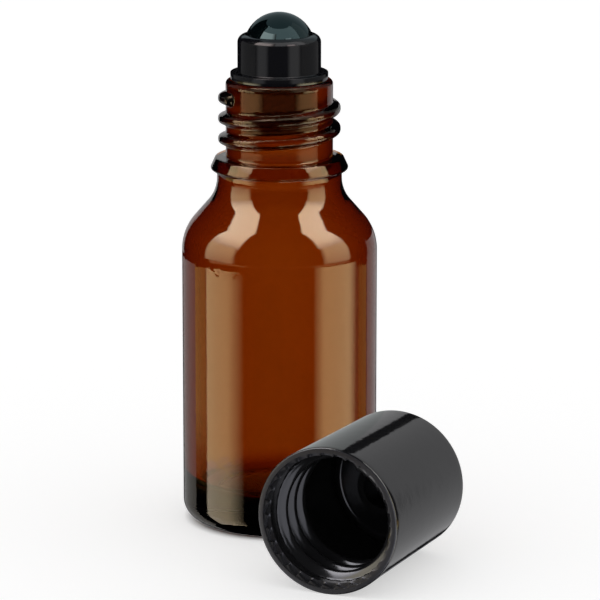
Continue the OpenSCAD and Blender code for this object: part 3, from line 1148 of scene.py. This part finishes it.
@dataclass
class Studio:
    """Camera, pale floor, white surroundings and the cards that the glass and the plastic reflect.

    Its lengths are in metres, the camera's sensor in millimetres and all angles in degrees. Small cards at
    the glass repeat the table and foot lights, where the cap hides the large ones from it.
    """

    ball_height: float
    foot_radius: float
    camera_place: tuple[float, float, float] = (0.0030, -0.600, 0.1707)
    camera_pitch: float = 12.95
    camera_clip: Span = (0.01, 20.0)
    focal_pixels: float = 4199.0
    picture_pixels: float = 600.0
    sensor: float = 36.0
    floor_radius: float = 4.0
    floor_colour: float = 0.82
    floor_roughness: float = 0.9
    floor_lift: float = 0.5
    floor_steps: int = 64
    foot_shade_share: float = 0.85
    ambient: float = 0.62
    surround_distance: float = 2.5
    glass_side: float = 0.01448
    cap_side: float = 0.0146
    shell_radius: float = 0.016
    inner_shell_radius: float = 0.0158
    shoulder_shade_radius: float = 0.0165
    cap_front_distance: float = 0.075
    dark: Colour = (0.004, 0.004, 0.005)
    table: Colour = (4.0, 3.6, 2.3)
    foot: Colour = (3.4, 3.3, 3.1)

    def large_cards(self) -> list[Card]:
        """The large cards of the set, which the glass and the cap reflect.

        Returns:
            The dark surround, then each light.
        """
        bright, even, neck = (10.5, 10.2, 9.8), (4.8, 4.4, 3.3), (1.8, 1.15, 0.7)
        grey, dim, neck_front = (0.5, 0.5, 0.51), (0.42, 0.42, 0.42), (0.3, 0.1, 0.05)
        left_spill, right_spill = (1.0, 0.72, 0.25), (0.6, 0.4, 0.12)
        top = {"side_fade": (3, 3), "low_fade": 16, "low_share": 0.46}
        return [
            Card("dark_surround", (0, 360), (-90, 90), self.dark, distance=self.surround_distance),
            Card("left_softbox_top", (-130, -82), (24, 69), bright, **top),
            Card("left_softbox", (-128, -82), (-6.8, 24), even, side_fade=(6, 3), low_fade=22,
                 low_share=0.5),
            Card("left_table_light", (-138, -83), (-17.3, -12.3), self.table, side_fade=(22, 3)),
            Card("left_foot_light", (-138, -83), (-50, -17.3), self.foot, side_fade=(22, 3)),
            Card("left_neck_light", (-147, -88), (-10.4, -7.7), neck, side_fade=(16, 6)),
            Card("neck_front_light", (147, 213), (-10.4, -7.7), neck_front),
            Card("left_spill", (-83, -62), (-18, -12.3), left_spill, low_fade=2),
            Card("left_rear_glow", (-62, -20), (-50, -12.3), dim),
            Card("right_softbox_top", (88, 131), (25, 68), bright, **top),
            Card("right_softbox", (88, 129), (-6.8, 25), even, side_fade=(3, 6), low_fade=22,
                 low_share=0.6),
            Card("right_table_light", (74, 139), (-17.3, -12.3), self.table, side_fade=(15, 14)),
            Card("right_foot_light", (74, 139), (-50, -17.3), self.foot, side_fade=(15, 14)),
            Card("right_neck_light", (88, 147), (-10.4, -7.7), neck, side_fade=(6, 16)),
            Card("right_spill", (56, 76), (-18, -12.3), right_spill, side_fade=(0, 4), low_fade=2),
            Card("left_rim_light", (-27, -14), (-12, 35), grey),
            Card("back_light", (-14, 9), (-30, 19), grey),
            Card("right_back_light", (17, 56), (-50, 42), grey, side_fade=(0, 3)),
        ]

    def cap_cards(self) -> list[Card]:
        """The cards that keep bottle and cap out of each other's reflections, and the cap's own light.

        Returns:
            Three cards at the glass that it reflects, one beside them that the cap reflects, and the light
            in front of the cap.
        """
        cap_back, cap_front = (0.42, 0.44, 0.44), (2.2, 2.2, 2.2)
        at_glass = {"distance": self.glass_side, "upright": True, "seen_from": SeenFrom.INSIDE}
        at_cap = {"distance": self.cap_side, "upright": True, "seen_from": SeenFrom.OUTSIDE}
        return [
            Card("glass_right_table", (127, 159.5), (-45.5, 45.5), self.table, side_fade=(7.5, 7),
                 eye_height=0.0257, **at_glass),
            Card("glass_right_foot", (127, 159.5), (-15.4, 15.4), self.foot, side_fade=(7.5, 7),
                 eye_height=0.00697, **at_glass),
            Card("glass_front_shade", (159.5, 200), (-54, 54), self.dark, eye_height=0.0206, **at_glass),
            Card("cap_back_light", (80, 200), (-54, 54), cap_back, eye_height=0.0215, **at_cap),
            Card("cap_front_light", (146, 180), (-22, 18), cap_front, distance=self.cap_front_distance,
                 eye_height=0.0),
        ]

    def insert_cards(self) -> list[Card]:
        """The small shell of cards round the top, which the shoulder, the insert and the ball reflect.

        Returns:
            The shade at the shoulder, the ring round the insert's cup, then the shell over the ball.
        """
        front, dusk, side = (1.25, 1.25, 1.27), (0.27, 0.33, 0.35), (0.4, 0.44, 0.45)
        left_glow, right_glow = (4.3, 3.7, 3.6), (3.4, 2.9, 2.9)
        low, cup_front = (0.17, 0.17, 0.17), (0.05, 0.05, 0.05)
        left_soft, right_soft = (0.55, 0.55, 0.56), (0.62, 0.62, 0.62)
        shell = {"distance": self.shell_radius, "eye_height": self.ball_height}
        inner_shell = {"distance": self.inner_shell_radius, "eye_height": self.ball_height}
        return [
            Card("shoulder_shade", (40, 102), (-10, 60), self.dark, distance=self.shoulder_shade_radius,
                 eye_height=0.046),
            Card("cup_back_shade", (-70, 65), (-22, 20), self.dark, **shell),
            Card("cup_right_side", (65, 128), (-22, 20), low, **shell),
            Card("cup_right_light", (128, 163), (-22, 20), right_soft, side_fade=(9, 9), **shell),
            Card("cup_front_shade", (163, 202), (-22, 20), cup_front, **shell),
            Card("cup_left_light", (-158, -124), (-22, 20), left_soft, side_fade=(9, 9), **shell),
            Card("cup_left_side", (-124, -70), (-22, 20), low, **shell),
            Card("ball_back", (-50, 75), (20, 62), dusk, **shell),
            Card("ball_right_side", (75, 112), (20, 62), side, **shell),
            Card("ball_front", (112, 190), (20, 62), front, **shell),
            Card("ball_right_glow", (138, 164), (20, 33), right_glow, side_fade=(6, 6), **inner_shell),
            Card("ball_left_glow", (-170, -118), (20, 46), left_glow, side_fade=(14, 0), **shell),
            Card("ball_left_upper", (-170, -118), (46, 62), front, **shell),
            Card("ball_left_shade", (-118, -50), (20, 62), self.dark, **shell),
            Card("ball_top", (0, 360), (62, 90), dusk, **shell),
        ]

    def camera(self) -> None:
        """Makes the camera at the photograph's viewpoint."""
        lens = bpy.data.cameras.new("camera")
        lens.sensor_width = self.sensor
        lens.lens = self.focal_pixels / self.picture_pixels * self.sensor
        lens.clip_start, lens.clip_end = self.camera_clip
        eye = in_scene("camera", lens)
        eye.location = self.camera_place
        eye.rotation_euler = (math.radians(90 - self.camera_pitch), 0, 0)
        bpy.context.scene.camera = eye

    def floor_material(self) -> bpy.types.Material:
        """Makes the floor's pale material, which rays from the camera and the object see as white, save
        under the bottle's foot, where the fade attribute takes its lift away as painted shade.

        Returns:
            The new material.
        """
        made = bpy.data.materials.new("pale_floor")
        made.use_nodes = True
        nodes, links = made.node_tree.nodes, made.node_tree.links
        surface = nodes["Principled BSDF"]
        surface.inputs["Base Color"].default_value = (self.floor_colour,) * 3 + (1,)
        surface.inputs["Roughness"].default_value = self.floor_roughness
        surface.inputs["Specular IOR Level"].default_value = 0.0
        surface.inputs["Emission Color"].default_value = (1, 1, 1, 1)
        lift = math_node(nodes, "MULTIPLY", {1: self.floor_lift})
        lift_outside_painted_shade = math_node(nodes, "MULTIPLY")
        share = nodes.new("ShaderNodeAttribute")
        share.attribute_name = FADE
        links.new(white_rays(nodes, links), lift.inputs[0])
        links.new(lift.outputs[0], lift_outside_painted_shade.inputs[0])
        links.new(share.outputs["Fac"], lift_outside_painted_shade.inputs[1])
        links.new(lift_outside_painted_shade.outputs[0], surface.inputs["Emission Strength"])
        return made

    def floor(self) -> None:
        """Makes the floor, which keeps the object's shadow. Under the bottle's foot its white lift is taken
        away, fading in towards the foot's edge: a painted shade under the bottle.
        """
        steps = self.floor_steps
        # The lift is 0 under the foot and rises to full at its edge: painted shade under the bottle.
        rings = [(self.foot_radius * self.foot_shade_share, 0.0), (self.foot_radius, 1.0),
                 (self.floor_radius, 1.0)]
        turns = [2 * math.pi * i / steps for i in range(steps)]
        points = [(radius * math.cos(turn), radius * math.sin(turn), 0)
                  for radius, _ in rings for turn in turns]
        faces = [tuple(range(steps))]
        for low in range(0, (len(rings) - 1) * steps, steps):
            for i in range(steps):
                after = (i + 1) % steps
                faces.append((low + i, low + steps + i, low + steps + after, low + after))
        mesh = bpy.data.meshes.new("floor")
        mesh.from_pydata(points, [], faces)
        shares = [share for _, share in rings for _ in turns]
        mesh.attributes.new(FADE, "FLOAT", "POINT").data.foreach_set("value", shares)
        mesh.materials.append(self.floor_material())
        ground = in_scene("floor", mesh)
        ground.visible_glossy = False

    def surroundings(self) -> None:
        """Sets the world: white behind everything, and a plain even light on the object."""
        world = bpy.data.worlds.new("white_room")
        world.use_nodes = True
        nodes, links = world.node_tree.nodes, world.node_tree.links
        light = nodes["Background"]
        light.inputs["Color"].default_value = (1, 1, 1, 1)
        level = nodes.new("ShaderNodeMapRange")
        level.inputs["To Min"].default_value = self.ambient
        level.inputs["To Max"].default_value = 1.0
        links.new(white_rays(nodes, links), level.inputs["Value"])
        links.new(level.outputs["Result"], light.inputs["Strength"])
        bpy.context.scene.world = world

    def build(self) -> None:
        """Sets up the whole studio."""
        self.camera()
        self.floor()
        self.surroundings()
        for card in self.large_cards() + self.cap_cards() + self.insert_cards():
            card.build()
        bpy.context.scene.view_settings.view_transform = "Standard"


# The glass's warm reflection tint is painted colour: it warms the highlights of every light that the glass
# reflects.
AMBER_GLASS = ClearGlass(name="amber_glass", colour=(1, 1, 1), tone_spread=0.0, gloss=(0.0, 0.015),
                         ripple_scale=260, ripple_fine=0.25, ripple_height=0.014, refraction=1.52,
                         painted_reflection_tint=(1.0, 0.8, 0.52), lets_through=(0.768, 0.5, 0.0), depth=1580.0,
                         bore_roughness=0.3)
INSERT_PLASTIC = Finish(name="insert_plastic", colour=(0.005, 0.005, 0.007), tone_spread=0.3,
                        gloss=(0.10, 0.15), ripple_scale=500, ripple_fine=0.3, ripple_height=0.01,
                        refraction=1.5)
# The ball's teal reflection tint is painted colour: it turns the reflections of the grey and white cards
# teal.
BALL_POLISH = Finish(name="ball_polish", colour=(0.001, 0.003, 0.0035), tone_spread=0.2, gloss=(0.03, 0.06),
                     ripple_scale=400, ripple_fine=0.1, ripple_height=0.004, refraction=1.6,
                     painted_reflection_tint=(0.64, 1.0, 1.03))
CAP_PLASTIC = Finish(name="cap_plastic", colour=(0.012, 0.012, 0.013), tone_spread=0.3, gloss=(0.06, 0.1),
                     ripple_scale=600, ripple_fine=0.3, ripple_height=0.018, refraction=1.46)
# The mouth is the cap's own plastic, rougher there. Its colour, twice as light as the outside's, is painted
# light on the rim and teeth. Its tint cools and dims the warm lights in its reflections, a painted
# reflection colour.
CAP_MOUTH_PAINTED_LIGHT = Finish(name="cap_mouth_painted_light", colour=(0.026, 0.026, 0.028), tone_spread=0.3, gloss=(0.26, 0.34),
                   ripple_scale=500, ripple_fine=0.4, ripple_height=0.02, refraction=1.46,
                   painted_reflection_tint=(0.76, 0.77, 0.94))
# The bore is the cap's own plastic, glossier there. Its tint dims and cools the thread's bright crescents, a
# painted shade on its reflections. Its colour, a little lighter than the outside's, is painted light in the
# hollow.
CAP_BORE_PAINTED_LIGHT_AND_SHADE = Finish(name="cap_bore_painted_light_and_shade", colour=(0.014, 0.014, 0.015), tone_spread=0.3, gloss=(0.12, 0.17),
                  ripple_scale=500, ripple_fine=0.3, ripple_height=0.015, refraction=1.5,
                  painted_reflection_tint=(0.68, 0.69, 0.78))
CAP_FINISHES = {CapZone.OUTSIDE: CAP_PLASTIC, CapZone.MOUTH: CAP_MOUTH_PAINTED_LIGHT, CapZone.BORE: CAP_BORE_PAINTED_LIGHT_AND_SHADE}


def in_mm(corners: tuple[Vector, Vector]) -> tuple[Vector, Vector]:
    """A box from the frame in millimetres."""
    return corners[0] / MM, corners[1] / MM


def main() -> None:
    """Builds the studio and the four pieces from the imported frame."""
    logging.basicConfig(level=logging.INFO, format="%(name)s: %(message)s")
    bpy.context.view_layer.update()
    glass = in_mm(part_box("bottle"))
    insert = in_mm(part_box("roller_housing"))
    ball = in_mm(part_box("roller_ball"))
    ball_radius = (ball[1].x - ball[0].x) / 2
    ball_height = ball[1].z - ball_radius
    Studio(ball_height=ball_height * MM, foot_radius=glass[1].x * MM).build()
    pieces = [
        GlassBottle(body_radius=glass[1].x, rim_height=glass[1].z).build(AMBER_GLASS),
        RollerInsert(rim_height=glass[1].z, lip_height=insert[1].z, ball_height=ball_height,
                     ball_radius=ball_radius).build(INSERT_PLASTIC),
        RollerBall(height=ball_height, radius=ball_radius).build(BALL_POLISH),
        ScrewCap(ground_radius=glass[1].x).build(CAP_FINISHES),
    ]
    for piece in pieces:
        size = ", ".join(f"{value / MM:.2f}" for value in piece.dimensions)
        log.info("%s: %d faces, %s mm", piece.name, len(piece.data.polygons), size)


if __name__ == "__main__":
    main()
